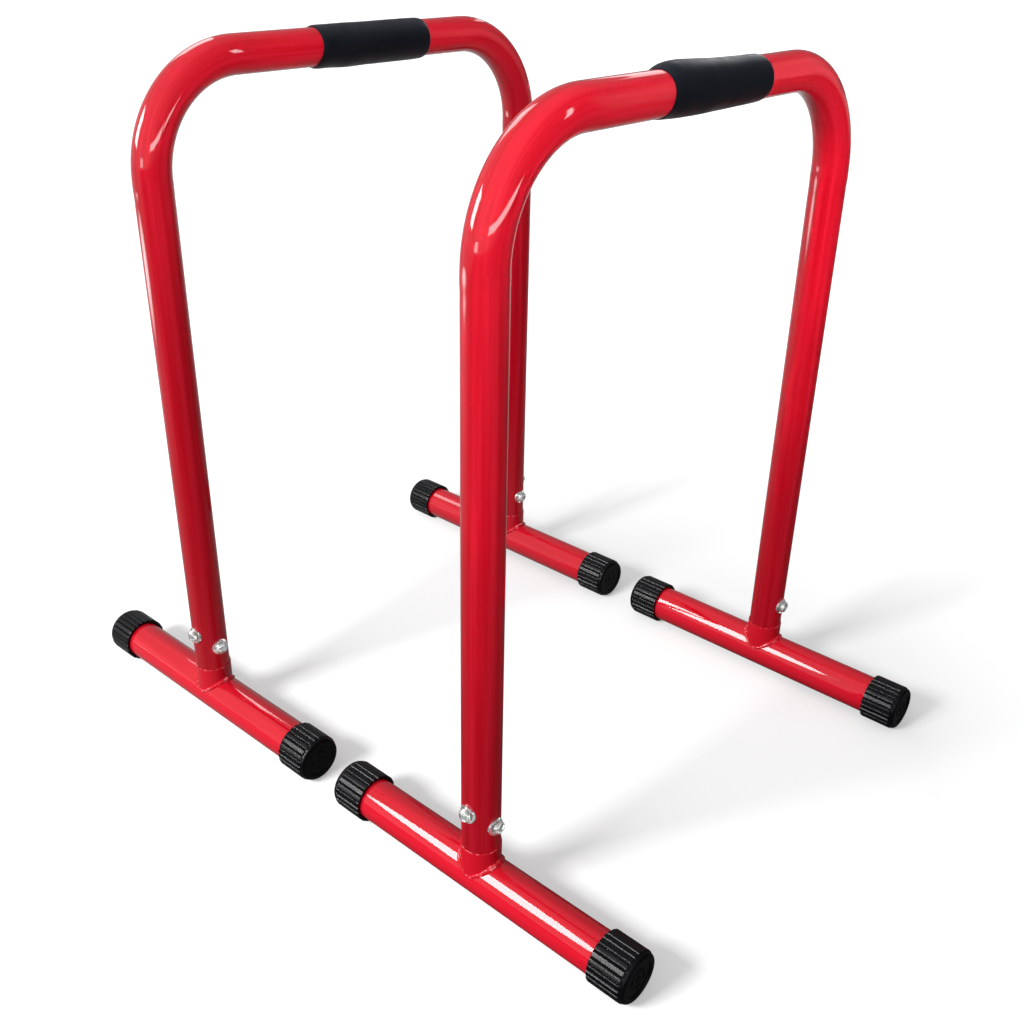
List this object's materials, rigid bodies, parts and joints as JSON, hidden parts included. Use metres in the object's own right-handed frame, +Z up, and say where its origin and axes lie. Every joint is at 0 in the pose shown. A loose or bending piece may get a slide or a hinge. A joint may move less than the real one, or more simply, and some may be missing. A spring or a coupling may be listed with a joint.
{
  "type": "parallette bar",
  "caption": "Pair of tall free-standing parallette bars: red bent-tube handles with black foam grips, bolted onto T-shaped feet with ribbed black end caps.",
  "frame": {"origin": "on the floor, midway between the two bars and midway between their posts", "axes": "+X along both rails from the near posts to the far posts, +Y along the feet from the right bar to the left bar, +Z up"},
  "size_m": [0.575, 0.81, 0.746],
  "materials": {
    "red_paint": "high gloss",
    "black_foam": "matte foam",
    "black_cap": "satin moulded",
    "zinc_plate": "bright zinc plated",
    "bare_steel": "as drawn"
  },
  "bodies": {
    "right_bar": {"right_handle_tube": "red_paint", "right_grip_sleeve": "black_foam", "right_near_foot_tube": "red_paint", "right_near_riser": "red_paint", "right_near_spigot": "bare_steel", "right_near_front_cap": "black_cap", "right_near_back_cap": "black_cap", "right_near_side_screw": "zinc_plate", "right_near_side_washer": "zinc_plate", "right_near_side_nut": "bare_steel", "right_near_front_screw": "zinc_plate", "right_near_front_washer": "zinc_plate", "right_near_front_nut": "bare_steel", "right_far_foot_tube": "red_paint", "right_far_riser": "red_paint", "right_far_spigot": "bare_steel", "right_far_front_cap": "black_cap", "right_far_back_cap": "black_cap", "right_far_side_screw": "zinc_plate", "right_far_side_washer": "zinc_plate", "right_far_side_nut": "bare_steel", "right_far_front_screw": "zinc_plate", "right_far_front_washer": "zinc_plate", "right_far_front_nut": "bare_steel"},
    "left_bar": {"left_handle_tube": "red_paint", "left_grip_sleeve": "black_foam", "left_near_foot_tube": "red_paint", "left_near_riser": "red_paint", "left_near_spigot": "bare_steel", "left_near_front_cap": "black_cap", "left_near_back_cap": "black_cap", "left_near_side_screw": "zinc_plate", "left_near_side_washer": "zinc_plate", "left_near_side_nut": "bare_steel", "left_near_front_screw": "zinc_plate", "left_near_front_washer": "zinc_plate", "left_near_front_nut": "bare_steel", "left_far_foot_tube": "red_paint", "left_far_riser": "red_paint", "left_far_spigot": "bare_steel", "left_far_front_cap": "black_cap", "left_far_back_cap": "black_cap", "left_far_side_screw": "zinc_plate", "left_far_side_washer": "zinc_plate", "left_far_side_nut": "bare_steel", "left_far_front_screw": "zinc_plate", "left_far_front_washer": "zinc_plate", "left_far_front_nut": "bare_steel"}
  },
  "joints": [
    {"name": "bar_spacing", "type": "slide", "parent": "right_bar", "child": "left_bar", "axis": [0, 1, 0], "range_m": [-0.045, 0.25]}
  ]
}
